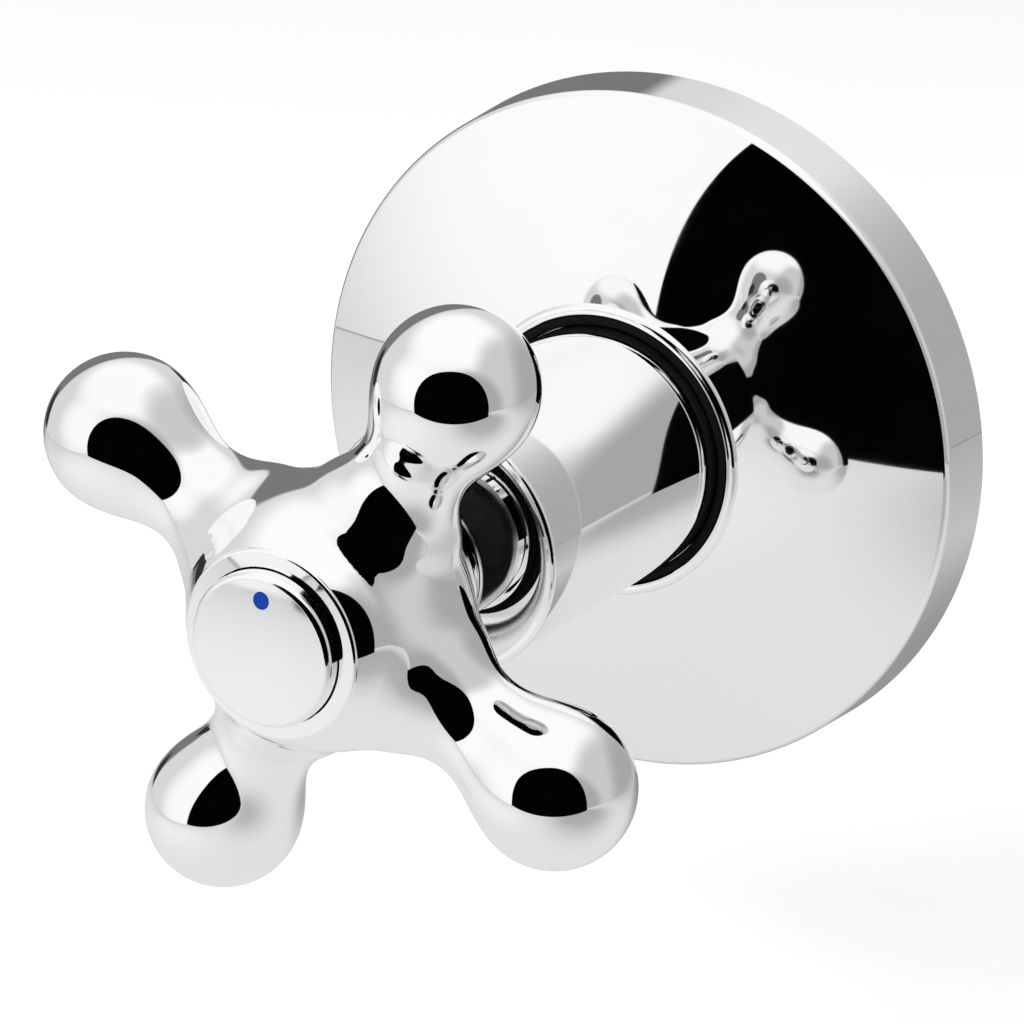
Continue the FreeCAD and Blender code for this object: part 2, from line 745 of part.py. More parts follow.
def make_arm(body):
    """One arm along +X: a ball, a waist and a flare into the hub, turned about the arm's own axis."""
    ball = size("ball_radius")
    waist = size("arm_neck_radius")
    ball_far = size("arm_neck_setback")
    waist_distance = size("ball_distance") - ball_far
    waist_curve = (square(ball_far) + square(waist) - square(ball)) / ((ball - waist) * 2)
    share = ball / (ball + waist_curve)
    touch_across = size("ball_distance") - ball_far * share
    touch_up = (waist + waist_curve) * share
    root_far = waist_distance - size("hub_radius")
    root_rise = size("hub_radius") - waist
    root_curve = (square(root_far) + square(root_rise)) / (root_rise * 2)
    level = -size("ball_reach")
    sketch = draw(body, "arm_outline", "XY_Plane", [
        (ZERO, level),
        (size("ball_distance") + ball, level, ball, "left"),
        (touch_across, level + touch_up, waist_curve, "right"),
        (waist_distance, level + waist, root_curve, "right"),
        (size("hub_radius"), level + size("hub_radius")),
        (ZERO, level + size("hub_radius")),
    ])
    return turn_sketch(body, "arm", sketch, edge="Edge1")


def turn_by(body, alias):
    """Turn a finished body about the tap's axis by a named angle, clockwise as seen from the front."""
    body.Placement = FreeCAD.Placement(FreeCAD.Vector(), FreeCAD.Vector(0, 1, 0), VALUES[alias])
    body.setExpression("Placement.Rotation.Angle", "Sizes.%s * 1 deg" % alias)


# Index cap
def make_index_cap():
    """Raised cap with a crowned face, a groove for its O-ring and a hollow for the screw's head."""
    edge = size("cap_edge_round")
    crown = size("cap_crown")
    face_edge = size("cap_radius") - edge
    crown_curve = (square(face_edge) + square(crown)) / (crown * 2)
    groove_half = size("cap_ring_section") * HALF + size("fine_gap") * 2
    groove_radius = size("cap_bore_radius") - size("cap_ring_section") - size("fine_gap") * 2
    hollow = groove_radius - size("cap_skirt_wall")
    hollow_front = size("cap_front_reach") - size("cap_face_thickness")
    body = new_body("index_cap")
    turn(body, "cap", [
        (ZERO, hollow_front),
        (hollow, hollow_front),
        (hollow, size("cap_rear_reach")),
        (size("cap_radius"), size("cap_rear_reach")),
        (size("cap_radius"), size("cap_ring_reach") - groove_half),
        (groove_radius, size("cap_ring_reach") - groove_half),
        (groove_radius, size("cap_ring_reach") + groove_half),
        (size("cap_radius"), size("cap_ring_reach") + groove_half),
        (size("cap_radius"), size("cap_front_reach") - edge, edge, "left"),
        (face_edge, size("cap_front_reach"), crown_curve, "left"),
        (ZERO, size("cap_front_reach") + crown),
    ])
    hole = size("dot_radius") + size("fine_gap")
    front = size("cap_front_reach") + crown
    sketch = draw_round(body, "dot_seat_outline", "XZ_Plane", ZERO, size("dot_distance"), hole, front)
    extrude_sketch(body, "dot_seat", sketch, size("dot_depth") + crown, cut=True)
    turn_by(body, "dot_angle")


def make_index_dot():
    """Round blue dot let into the cap's face near its top."""
    body = new_body("index_dot")
    face = size("cap_front_reach") + dot_face_rise()
    radius = size("dot_radius")
    sketch = draw_round(body, "dot_outline", "XZ_Plane", ZERO, size("dot_distance"), radius, face)
    extrude_sketch(body, "dot", sketch, dot_face_rise() + size("dot_depth"))
    turn_by(body, "dot_angle")


def dot_face_rise():
    """How far the crowned face stands above its edge at the dot, with the dot a little proud."""
    face_edge = size("cap_radius") - size("cap_edge_round")
    crown = size("cap_crown")
    crown_curve = (square(face_edge) + square(crown)) / (crown * 2)
    drop = crown_curve - root(square(crown_curve) - square(size("dot_distance")))
    return crown - drop + size("dot_proud")


def make_cap_ring():
    """O-ring that holds the cap in the hub."""
    section = size("cap_ring_section") * HALF
    middle = size("cap_bore_radius") - section - size("fine_gap")
    ring_of("cap_ring", middle, section, size("cap_ring_reach"))


# Screws and washer
def make_handle_screw():
    """Pan-head screw with a cross recess, through the hub's web into the spindle extension."""
    under_head = size("under_head_reach")
    head_front = under_head + size("screw_head_height")
    head_edge = size("screw_head_round")
    body = new_body("handle_screw")
    turn(body, "screw", [
        (ZERO, under_head - size("screw_length")),
        (size("screw_radius"), under_head - size("screw_length")),
        (size("screw_radius"), under_head),
        (size("screw_head_radius"), under_head),
        (size("screw_head_radius"), head_front - head_edge, head_edge, "left"),
        (size("screw_head_radius") - head_edge, head_front),
        (ZERO, head_front),
    ])
    half_length = size("recess_length") * HALF
    slot = extrude(body, "slot", box_outline(size("recess_width"), -half_length, half_length),
                   head_front, size("recess_depth"), cut=True)
    repeat(body, "cross_recess", slot, as_size(4))
    turn_by(body, "rest_angle")


def make_handle_washer():
    """Flat washer under the handle screw's head."""
    body = new_body("handle_washer")
    front = size("under_head_reach")
    hole = size("screw_radius") + size("fine_gap") * 3
    turn(body, "washer", [
        (hole, size("washer_bore_reach")),
        (size("washer_radius"), size("washer_bore_reach")),
        (size("washer_radius"), front),
        (hole, front),
    ])


def make_grub_screw():
    """Short set screw across the spindle extension, with a hexagon socket."""
    inner = size("extension_socket_radius")
    outer = size("extension_radius")
    level = -size("grub_reach")
    radius = size("grub_radius") - size("fine_gap")
    body = new_body("extension_grub_screw")
    sketch = draw(body, "grub_outline", "XY_Plane", [
        (inner, level),
        (outer - size("grub_hex_depth"), level),
        (outer - size("grub_hex_depth"), level + size("grub_hex_radius")),
        (outer, level + size("grub_hex_radius")),
        (outer, level + radius),
        (inner, level + radius),
    ])
    turn_sketch(body, "grub", sketch, edge="Edge1")
    turn_by(body, "rest_angle")


# Splined pieces
def make_spline_insert():
    """Adaptor with two keys outside and a female spline inside."""
    bore = size("spline_root_radius") + size("spline_space")
    outer = size("socket_radius") - size("fine_gap")
    front = size("web_rear_reach") - size("fine_gap")
    rear = size("socket_rear_reach")
    key_top = outer + size("key_height")
    body = new_body("spline_insert")
    extrude(body, "keys", box_outline(size("key_width"), -key_top, key_top), front, front - rear)
    turn(body, "barrel", [
        (ZERO, rear),
        (outer, rear),
        (outer, front),
        (ZERO, front),
    ])
    turn(body, "insert_bore", [
        (ZERO, rear - size("key_height")),
        (bore, rear - size("key_height")),
        (bore, front + size("key_height")),
        (ZERO, front + size("key_height")),
    ], cut=True)
    female_spline(body, "insert_space", front, front - rear)
    turn_by(body, "rest_angle")


def female_spline(body, name, front_reach, length):
    """Cut the spaces that a male spline's teeth fill, halfway between the male spline's own grooves."""
    middle = HALF_TURN / size("spline_teeth")
    inner = size("spline_root_radius") - size("spline_depth")
    outer = size("extension_socket_radius")
    inner_half = middle - flank_angle(inner) + size("spline_play_degrees")
    outer_half = middle - flank_angle(outer) + size("spline_play_degrees")
    tooth = [
        polar(inner, middle - inner_half),
        polar(outer, middle - outer_half),
        polar(outer, middle + outer_half),
        polar(inner, middle + inner_half),
    ]
    space = extrude(body, name, tooth, front_reach, length, cut=True)
    return repeat(body, name + "s", space, size("spline_teeth"))


def make_spindle_extension():
    """Extension with a socket for the spindle, a male spline for the handle and a tapped end."""
    front = size("extension_front_reach")
    rear = size("extension_rear_reach")
    shoulder = size("extension_shoulder_reach")
    tap = size("screw_radius") + size("fine_gap")
    socket = size("spline_root_radius") + size("spline_space")
    socket_front = size("extension_socket_reach")
    body = new_body("spindle_extension")
    turn(body, "shank", [
        (ZERO, socket_front),
        (socket, socket_front),
        (socket, rear),
        (size("extension_radius"), rear),
        (size("extension_radius"), shoulder),
        (size("extension_collar_radius"), shoulder),
        (size("extension_collar_radius"), size("extension_spline_reach")),
        (size("spline_radius"), size("extension_spline_reach")),
        (size("spline_radius"), front),
        (tap, front),
        (tap, front - size("extension_tap_depth")),
        (ZERO, front - size("extension_tap_depth")),
    ])
    spline_grooves(body, "tooth_space", front, front - size("extension_spline_reach"))
    female_spline(body, "socket_space", socket_front, socket_front - rear)
    cross_hole(body)
    turn_by(body, "rest_angle")


def cross_hole(body):
    """Tapped hole for the grub screw, from the extension's side into its socket."""
    level = -size("grub_reach")
    inner = size("spline_root_radius")
    outer = size("extension_radius") + size("grub_radius")
    sketch = draw(body, "grub_hole_outline", "XY_Plane", [
        (inner, level),
        (outer, level),
        (outer, level + size("grub_radius")),
        (inner, level + size("grub_radius")),
    ])
    turn_sketch(body, "grub_hole", sketch, cut=True, edge="Edge1")


def make_spindle():
    """Spindle with a male spline, two O-ring grooves, a clip groove, a flange and a driving blade."""
    front = size("spindle_front_reach")
    flange = size("flange_radius")
    flange_rear = size("flange_rear_reach")
    flange_front = size("flange_front_reach")
    clip_rear = size("housing_front_reach") + size("clip_play")
    clip_front = clip_rear + size("clip_thickness") + size("fine_gap") * 2
    outline = [(ZERO, flange_rear), (flange, flange_rear), (flange, flange_front)]
    outline.append((size("journal_radius"), flange_front))
    for alias in ("inner_ring_reach", "outer_ring_reach"):
        outline += ring_groove(size(alias))
    outline += [
        (size("journal_radius"), clip_rear),
        (size("clip_groove_radius"), clip_rear),
        (size("clip_groove_radius"), clip_front),
        (size("journal_radius"), clip_front),
        (size("journal_radius"), size("journal_front_reach")),
        (size("spline_radius"), size("journal_front_reach")),
        (size("spline_radius"), front),
        (ZERO, front),
    ]
    body = new_body("spindle")
    turn(body, "spindle_turned", outline)
    spline_grooves(body, "tooth_space", front, front - size("journal_front_reach"))
    half_blade = size("blade_length") * HALF
    extrude(body, "blade", box_outline(size("blade_width"), -half_blade, half_blade),
            flange_rear, size("disc_gap") + size("blade_bite"))
    turn_by(body, "rest_angle")


def ring_groove(reach):
    """The four corners of an O-ring groove in the spindle's journal."""
    half = size("spindle_ring_section") * HALF + size("fine_gap") * 2
    bottom = spindle_ring_middle() - size("spindle_ring_section") * HALF - size("fine_gap")
    journal = size("journal_radius")
    rear = reach - half
    front = reach + half
    return [(journal, rear), (bottom, rear), (bottom, front), (journal, front)]


def spindle_ring_middle():
    """Middle radius of the spindle's O-rings, whose outside just clears the journal's surface."""
    return size("journal_radius") - size("spindle_ring_section") * HALF


def make_spindle_rings():
    """The two O-rings in the spindle's grooves."""
    section = size("spindle_ring_section") * HALF
    ring_of("outer_spindle_ring", spindle_ring_middle(), section, size("outer_ring_reach"))
    ring_of("inner_spindle_ring", spindle_ring_middle(), section, size("inner_ring_reach"))


def make_spindle_clip():
    """Open spring clip in the spindle's groove, in front of the housing."""
    inner = size("clip_groove_radius") + size("fine_gap")
    rear = size("housing_front_reach") + size("clip_play") + size("fine_gap")
    front = rear + size("clip_thickness")
    body = new_body("spindle_clip")
    turn(body, "clip_ring", [
        (inner, rear),
        (size("clip_radius"), rear),
        (size("clip_radius"), front),
        (inner, front),
    ])
    extrude(body, "clip_mouth", box_outline(size("clip_mouth_width"), -size("clip_radius") * 2, ZERO),
            front, size("clip_thickness"), cut=True)
    turn_by(body, "rest_angle")


# Headwork
def make_housing():
    """Housing with a hexagon, a sleeve thread, a male pipe thread and a windowed chamber for the discs."""
    bore = size("housing_bore_radius")
    skirt_rear = size("skirt_rear_reach")
    body = new_body("headwork_housing")
    turn(body, "housing_turned", [
        (bore, size("chamber_roof_reach")),
        (size("chamber_radius"), size("chamber_roof_reach")),
        (size("chamber_radius"), skirt_rear),
        (size("skirt_radius"), skirt_rear),
        (size("skirt_radius"), size("thread_rear_reach")),
        (size("thread_radius"), size("thread_rear_reach")),
        (size("thread_radius"), size("thread_front_reach")),
        (size("relief_radius"), size("thread_front_reach")),
        (size("relief_radius"), size("hex_rear_reach")),
        (size("boss_radius"), size("hex_rear_reach")),
        (size("boss_radius"), size("boss_front_reach")),
        (size("housing_neck_radius"), size("boss_front_reach")),
        (size("housing_neck_radius"), size("housing_front_reach")),
        (bore, size("housing_front_reach")),
    ])
    hex_half = HALF_TURN / size("hex_sides")
    corner = (size("boss_radius") + size("hex_step")) / cosine(hex_half)
    core = size("relief_radius")
    side = [
        polar(core, -hex_half),
        polar(corner, -hex_half),
        polar(corner, hex_half),
        polar(core, hex_half),
    ]
    flat = extrude(body, "hexagon_side", side, size("hex_front_reach"), size("hex_height"))
    repeat(body, "hexagon", flat, size("hex_sides"))
    flange_rear = size("flange_rear_reach")
    window_rear = flange_rear - size("window_height")
    half = size("window_width") * HALF
    extrude_across(body, "windows", [
        (-half, -flange_rear),
        (half, -flange_rear),
        (half, -window_rear),
        (-half, -window_rear),
    ], size("skirt_radius") * 4)
    slot_top = size("lug_radius") + size("lug_gap")
    meeting = size("disc_meeting_reach")
    extrude(body, "lug_slots", box_outline(size("lug_width") + size("lug_gap") * 2, -slot_top, slot_top),
            meeting, meeting - skirt_rear, cut=True)


def make_slide_washer():
    """Slippery washer between the spindle's flange and the chamber's roof."""
    roof = size("chamber_roof_reach")
    bore = size("housing_bore_radius")
    body = new_body("slide_washer")
    turn(body, "slide_washer_turned", [
        (bore, roof - size("slide_washer_thickness")),
        (size("flange_radius"), roof - size("slide_washer_thickness")),
        (size("flange_radius"), roof),
        (bore, roof),
    ])


def make_moving_disc():
    """Ceramic disc with two ports and a slot that the spindle's blade turns."""
    front = size("disc_front_reach")
    meeting = size("disc_meeting_reach")
    half_slot = size("blade_length") * HALF + size("fine_gap")
    body = new_body("moving_disc")
    turn(body, "moving_blank", [
        (ZERO, meeting),
        (size("moving_disc_radius"), meeting),
        (size("moving_disc_radius"), front),
        (ZERO, front),
    ])
    slot_width = size("blade_width") + size("fine_gap") * 2
    extrude(body, "blade_slot", box_outline(slot_width, -half_slot, half_slot),
            front, size("blade_bite") + size("fine_gap"), cut=True)
    cut_ports(body, front, size("disc_thickness"), ZERO)
    turn_by(body, "rest_angle")


def cut_ports(body, front, thickness, middle):
    """Two opposite ports through a disc."""
    outline = wedge(size("port_inner_radius"), size("port_outer_radius"), middle, size("port_degrees"))
    port = extrude(body, "port", outline, front, thickness, cut=True)
    repeat(body, "ports", port, as_size(2))


def make_fixed_disc():
    """Ceramic disc with two ports and two lugs that stop it from turning."""
    rear = size("disc_rear_reach")
    meeting = size("disc_meeting_reach") - size("fine_gap")
    body = new_body("fixed_disc")
    extrude(body, "lugs", box_outline(size("lug_width"), -size("lug_radius"), size("lug_radius")),
            meeting, meeting - rear)
    turn(body, "fixed_blank", [
        (ZERO, rear),
        (size("fixed_disc_radius"), rear),
        (size("fixed_disc_radius"), meeting),
        (ZERO, meeting),
    ])
    closed_middle = HALF_TURN * HALF - size("rest_angle")
    cut_ports(body, meeting, size("disc_thickness"), closed_middle)


def make_seat_seal():
    """Rubber bush that presses the discs together and seals on the valve's seat."""
    rear = size("skirt_rear_reach") - size("seal_proud")
    front = size("disc_rear_reach")
    body = new_body("seat_seal")
    turn(body, "seat_bush", [
        (size("seal_bore_radius"), rear),
        (size("seal_radius"), rear),
        (size("seal_radius"), front),
        (size("seal_bore_radius"), front),
    ])


def make_shoulder_seal():
    """O-ring in the relief behind the hexagon."""
    section = size("shoulder_ring_section") * HALF
    reach = (size("hex_rear_reach") + size("thread_front_reach")) * HALF
    ring_of("shoulder_seal", size("relief_radius") + section + size("fine_gap"), section, reach)


make_wall_plate()
make_wall_seal()
make_plate_ring()
make_sleeve()
make_glide_ring()
make_cross_handle()
make_index_cap()
make_index_dot()
make_cap_ring()
make_handle_screw()
make_handle_washer()
make_spline_insert()
make_spindle_extension()
make_grub_screw()
make_spindle()
make_spindle_clip()
make_spindle_rings()
make_slide_washer()
make_moving_disc()
make_fixed_disc()
make_seat_seal()
make_housing()
make_shoulder_seal()
doc.recompute()

# Check and write every piece
for item in doc.Objects:
    if "Invalid" in item.State or "Error" in item.State:
        raise RuntimeError("%s: %s" % (item.Name, item.State))
os.makedirs("parts", exist_ok=True)
for node in NODES:
    shape = node.Shape
    if shape.isNull() or not shape.isValid() or len(shape.Solids) != 1:
        raise RuntimeError("%s is not one valid solid" % node.Label)
    print("%-22s %9.2f mm3" % (node.Label, shape.Volume))
    shape.exportStep("parts/%s.step" % node.Label)
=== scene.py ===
"""Shower tap in polished chrome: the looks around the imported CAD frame.

Shapes are written in millimetres, and scaled to metres when their mesh is made. Materials, the
mirrored table and the lamps' size are in metres."""
import math

import bmesh
import bpy
import numpy as np
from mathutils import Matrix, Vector


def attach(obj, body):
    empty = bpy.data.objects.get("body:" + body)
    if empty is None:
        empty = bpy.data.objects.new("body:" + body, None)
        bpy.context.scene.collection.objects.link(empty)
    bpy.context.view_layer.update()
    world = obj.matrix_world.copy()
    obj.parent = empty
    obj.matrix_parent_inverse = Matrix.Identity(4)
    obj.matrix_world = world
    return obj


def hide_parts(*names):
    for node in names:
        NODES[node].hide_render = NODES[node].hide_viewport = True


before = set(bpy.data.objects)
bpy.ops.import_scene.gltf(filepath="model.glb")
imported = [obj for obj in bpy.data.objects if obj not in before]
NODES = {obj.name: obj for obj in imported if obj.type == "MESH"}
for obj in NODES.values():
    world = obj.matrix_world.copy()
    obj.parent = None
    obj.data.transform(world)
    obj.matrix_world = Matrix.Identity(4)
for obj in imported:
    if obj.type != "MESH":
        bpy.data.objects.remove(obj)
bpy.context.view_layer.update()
MM = 0.001


# Node graphs: the part of a noise that tones and roughness are spread over, and its detail
NOISE_RANGE = (0.3, 0.7)
TONE_DETAIL = 3.0
POLISH_DETAIL = 5.0
FINE_DETAIL = 2.0


class Graph:
    """The nodes of a material or world, with short ways to add to them."""

    def __init__(self, owner, shader):
        owner.use_nodes = True
        self.owner = owner
        self.nodes = owner.node_tree.nodes
        self.links = owner.node_tree.links
        self.shader = self.nodes[shader]

    def new(self, kind):
        """A new shader node."""
        return self.nodes.new("ShaderNode" + kind)

    def give(self, socket, value):
        """Set a socket to a value, or link another node's output to it."""
        if isinstance(value, bpy.types.NodeSocket):
            self.links.new(value, socket)
        else:
            socket.default_value = value

    def look(self, name, value):
        """Give a value to one of the shader's own sockets."""
        self.give(self.shader.inputs[name], value)

    def math(self, operation, *values):
        """Result of one operation on numbers and outputs."""
        node = self.new("Math")
        node.operation = operation
        for socket, value in zip(node.inputs, values):
            self.give(socket, value)
        return node.outputs[0]

    def length(self, a, b):
        """Length of a vector with the parts a and b."""
        squares = [self.math("MULTIPLY", part, part) for part in (a, b)]
        return self.math("SQRT", self.math("ADD", *squares))

    def ramp(self, value, start, end, low=0.0, high=1.0, kind="SMOOTHSTEP"):
        """Change from low at the start to high at the end."""
        node = self.new("MapRange")
        node.interpolation_type = kind
        self.give(node.inputs["Value"], value)
        self.give(node.inputs["From Min"], start)
        self.give(node.inputs["From Max"], end)
        self.give(node.inputs["To Min"], low)
        self.give(node.inputs["To Max"], high)
        return node.outputs["Result"]

    def place(self):
        """The object's own coordinates."""
        return self.new("TexCoord").outputs["Object"]

    def split(self, vector):
        """A vector's x, y and z."""
        node = self.new("SeparateXYZ")
        self.give(node.inputs["Vector"], vector)
        return node.outputs

    def noise(self, scale, detail=TONE_DETAIL, stretch=(1, 1, 1)):
        """Noise over the object's own coordinates, with the scale in bumps per metre."""
        mapping = self.new("Mapping")
        self.give(mapping.inputs["Vector"], self.place())
        self.give(mapping.inputs["Scale"], stretch)
        texture = self.new("TexNoise")
        self.give(texture.inputs["Vector"], mapping.outputs["Vector"])
        self.give(texture.inputs["Scale"], scale)
        self.give(texture.inputs["Detail"], detail)
        return texture.outputs["Fac"]

    def two_tone(self, amount, dark, light):
        """A colour that wanders between two tones."""
        node = self.new("ValToRGB")
        for element, position, tone in zip(node.color_ramp.elements, NOISE_RANGE, (dark, light)):
            element.position = position
            element.color = (*tone, 1)
        self.give(node.inputs["Fac"], amount)
        return node.outputs["Color"]

    def mix(self, share, first, second):
        """The first shader where the share is 0, and the second where it is 1."""
        node = self.new("MixShader")
        for socket, value in zip(node.inputs, (share, first, second)):
            self.give(socket, value)
        return node.outputs[0]


def new_material(name):
    """Graph of a new material with a Principled shader."""
    return Graph(bpy.data.materials.new(name), "Principled BSDF")


# Materials
def finish_of(name, dark, light, rough, metallic=0.0, gloss=0.5, tone_scale=60, rough_scale=300,
              bump_scale=2500, bump=0.05, depth=0.00002, stretch=(1, 1, 1)):
    """Graph of a surface with a wandering tone, wandering polish and a fine bump."""
    graph = new_material(name)
    graph.look("Metallic", metallic)
    graph.look("Specular IOR Level", gloss)
    graph.look("Base Color", graph.two_tone(graph.noise(tone_scale), dark, light))
    polish = graph.noise(rough_scale, POLISH_DETAIL, stretch)
    graph.look("Roughness", graph.ramp(polish, *NOISE_RANGE, *rough, kind="LINEAR"))
    relief = graph.new("Bump")
    graph.give(relief.inputs["Strength"], bump)
    graph.give(relief.inputs["Distance"], depth)
    graph.give(relief.inputs["Height"], graph.noise(bump_scale, FINE_DETAIL, stretch))
    graph.look("Normal", relief.outputs["Normal"])
    return graph


# Tones are linear colours, scales are in bumps per metre, and depths are in metres
LOOKS = {
    "polished_chrome": dict(
        dark=(0.955, 0.957, 0.962), light=(0.975, 0.977, 0.98), rough=(0.012, 0.035), metallic=1.0,
        tone_scale=25, rough_scale=90, bump_scale=900, bump=0.02, depth=0.000004),
    "cap_chrome": dict(
        dark=(0.95, 0.952, 0.957), light=(0.972, 0.974, 0.977), rough=(0.05, 0.09), metallic=1.0,
        tone_scale=120, rough_scale=400, bump_scale=4000, bump=0.03, depth=0.000004),
    "cold_blue": dict(
        dark=(0.003, 0.055, 0.42), light=(0.006, 0.075, 0.52), rough=(0.5, 0.6), gloss=0.15,
        bump_scale=4000),
    "black_plastic": dict(
        dark=(0.002, 0.002, 0.002), light=(0.005, 0.005, 0.005), rough=(0.5, 0.65), gloss=0.1),
    "foam_grey": dict(
        dark=(0.17, 0.17, 0.175), light=(0.28, 0.28, 0.285), rough=(0.85, 0.98), bump_scale=3200,
        bump=0.9, depth=0.0002),
    "black_rubber": dict(
        dark=(0.003, 0.003, 0.003), light=(0.008, 0.008, 0.008), rough=(0.55, 0.75), gloss=0.12,
        bump_scale=5000, bump=0.3),
    "stainless": dict(
        dark=(0.5, 0.49, 0.48), light=(0.62, 0.61, 0.6), rough=(0.2, 0.34), metallic=1.0, bump=0.2,
        stretch=(1, 14, 1)),
    "white_plastic": dict(dark=(0.72, 0.71, 0.68), light=(0.8, 0.79, 0.77), rough=(0.35, 0.5)),
    "brass": dict(
        dark=(0.62, 0.42, 0.16), light=(0.78, 0.56, 0.25), rough=(0.22, 0.38), metallic=1.0,
        rough_scale=700, bump=0.3, stretch=(1, 9, 1)),
    "ceramic": dict(dark=(0.78, 0.77, 0.74), light=(0.87, 0.86, 0.84), rough=(0.12, 0.22)),
}
FINISHES = {name: finish_of(name, **look).owner for name, look in LOOKS.items()}
CHROME = FINISHES["polished_chrome"]
# The CAD nodes that each finish is on
WORN_BY = {
    "polished_chrome": ("wall_plate", "sleeve", "cross_handle"),
    "cap_chrome": ("index_cap",),
    "cold_blue": ("index_dot",),
    "black_plastic": ("glide_ring",),
    "foam_grey": ("wall_seal",),
    "black_rubber": ("plate_ring", "cap_ring", "outer_spindle_ring", "inner_spindle_ring",
                     "seat_seal", "shoulder_seal"),
    "stainless": ("handle_screw", "handle_washer", "extension_grub_screw", "spindle_clip"),
    "white_plastic": ("spline_insert", "slide_washer"),
    "brass": ("spindle_extension", "spindle", "headwork_housing"),
    "ceramic": ("moving_disc", "fixed_disc"),
}
for finish, wearers in WORN_BY.items():
    for node in wearers:
        for slot in NODES[node].material_slots:
            slot.material = FINISHES[finish]

# The sleeve's dished mouth is satin: inside its lip and in front of its floor
MOUTH_RADIUS = 0.0122
MOUTH_FLOOR = -0.0401
MOUTH_EASE = 0.0001
MOUTH_ROUGH = 0.22


def satin_mouth(graph):
    """Roughen the sleeve's chrome inside its mouth."""
    x, y, z = graph.split(graph.place())
    within = graph.ramp(graph.length(x, z), MOUTH_RADIUS - MOUTH_EASE, MOUTH_RADIUS + MOUTH_EASE,
                        MOUTH_ROUGH, 0.0)
    ahead = graph.ramp(y, MOUTH_FLOOR - MOUTH_EASE, MOUTH_FLOOR + MOUTH_EASE, 1.0, 0.0)
    satin = graph.math("MULTIPLY", within, ahead)
    polish = graph.shader.inputs["Roughness"].links[0].from_socket
    graph.look("Roughness", graph.math("MAXIMUM", polish, satin))
    return graph.owner


SLEEVE_CHROME = satin_mouth(finish_of("sleeve_chrome", **LOOKS["polished_chrome"]))


# Shapes: polished metal mirrors its own normals, so these pieces carry exact ones
AROUND_STEPS = 256
AROUND = np.linspace(0, 2 * math.pi, AROUND_STEPS, endpoint=False)
# The longest step along an arc, and the radius below which a ring is one point
ARC_DEGREES = 3
ARC_LENGTH = 0.8
ON_AXIS = 1e-6


class Skin:
    """Points, faces and a normal for each face corner of one mesh."""

    def __init__(self):
        self.points = []
        self.faces = []
        self.normals = []

    def add_points(self, points):
        """Add points, and return their numbers."""
        first = len(self.points)
        self.points.extend(map(tuple, points))
        return np.arange(first, len(self.points))

    def add_face(self, corners, normals):
        """Add a face over numbered points, with a normal at each."""
        self.faces.append(tuple(int(c) for c in corners))
        self.normals.extend(tuple(n) for n in normals)

    def make(self, name, material, slot, body, *replaced):
        """Make the piece, which stands for the CAD nodes that it replaces."""
        mesh = bpy.data.meshes.new(name)
        mesh.from_pydata((np.array(self.points) * MM).tolist(), [], self.faces, shade_flat=False)
        mesh.normals_split_custom_set(self.normals)
        mesh.materials.append(material)
        piece = add_object(name, mesh)
        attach(piece, body)
        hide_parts(*replaced)


def add_object(name, data):
    """A new object in the scene that shows the data."""
    made = bpy.data.objects.new(name, data)
    bpy.context.scene.collection.objects.link(made)
    return made


def outline(corners):
    """Steps (point, normal, next point, next normal) along corners of (radius, reach[, bend]), with
    metal on the left. A bend is the radius of the arc to the next corner: above 0 it bulges, and
    below 0 it is hollow."""
    steps = []
    for here, there in zip(corners, corners[1:]):
        start, end = np.array(here[:2], float), np.array(there[:2], float)
        way = end - start
        length = np.hypot(*way)
        way = way / length
        left = np.array([-way[1], way[0]])
        if len(here) == 2:
            steps.append((start, -left, end, -left))
            continue
        bend = here[2]
        side = 1.0 if bend > 0 else -1.0
        centre = (start + end) / 2 + left * side * math.sqrt(bend * bend - length * length / 4)
        first = math.atan2(*(start - centre)[::-1])
        swept = math.atan2(*(end - centre)[::-1]) - first
        swept = (swept * side) % (2 * math.pi) * side
        count = max(2, math.ceil(abs(math.degrees(swept)) / ARC_DEGREES),
                    math.ceil(abs(swept * bend) / ARC_LENGTH))
        angles = first + swept * np.arange(count + 1) / count
        spokes = np.stack([np.cos(angles), np.sin(angles)], 1)
        points = centre + spokes * abs(bend)
        points[0], points[-1] = start, end
        for k in range(count):
            steps.append((points[k], spokes[k] * side, points[k + 1], spokes[k + 1] * side))
    return steps


def lathe(skin, corners, angles=AROUND, first_ring=None, last_ring=None):
    """Turn an outline about the tap's axis. A given first or last ring joins it to points already
    there."""
    cos, sin = np.cos(angles), np.sin(angles)

    def spokes(pair):
        return np.stack([pair[0] * cos, np.full_like(cos, -pair[1]), pair[0] * sin], 1)

    def ring(point):
        if point[0] < ON_AXIS:
            return skin.add_points([(0.0, -point[1], 0.0)])
        return skin.add_points(spokes(point))

    steps = outline(corners)
    closed = first_ring is None and last_ring is None and corners[0][:2] == corners[-1][:2]
    low = ring(steps[0][0]) if first_ring is None else first_ring
    start = low
    for number, (_, normal, there, next_normal) in enumerate(steps):
        last = number == len(steps) - 1
        if last and closed:
            high = start
        elif last and last_ring is not None:
            high = last_ring
        else:
            high = ring(there)
        below, above = spokes(normal), spokes(next_normal)
        for k in range(len(angles)):
            n = (k + 1) % len(angles)
            if len(low) == 1:
                skin.add_face((low[0], high[n], high[k]), (below[k], above[n], above[k]))
            elif len(high) == 1:
                skin.add_face((low[k], low[n], high[0]), (below[k], below[n], above[k]))
            else:
                skin.add_face((low[k], low[n], high[n], high[k]),
                              (below[k], below[n], above[n], above[k]))
        low = high


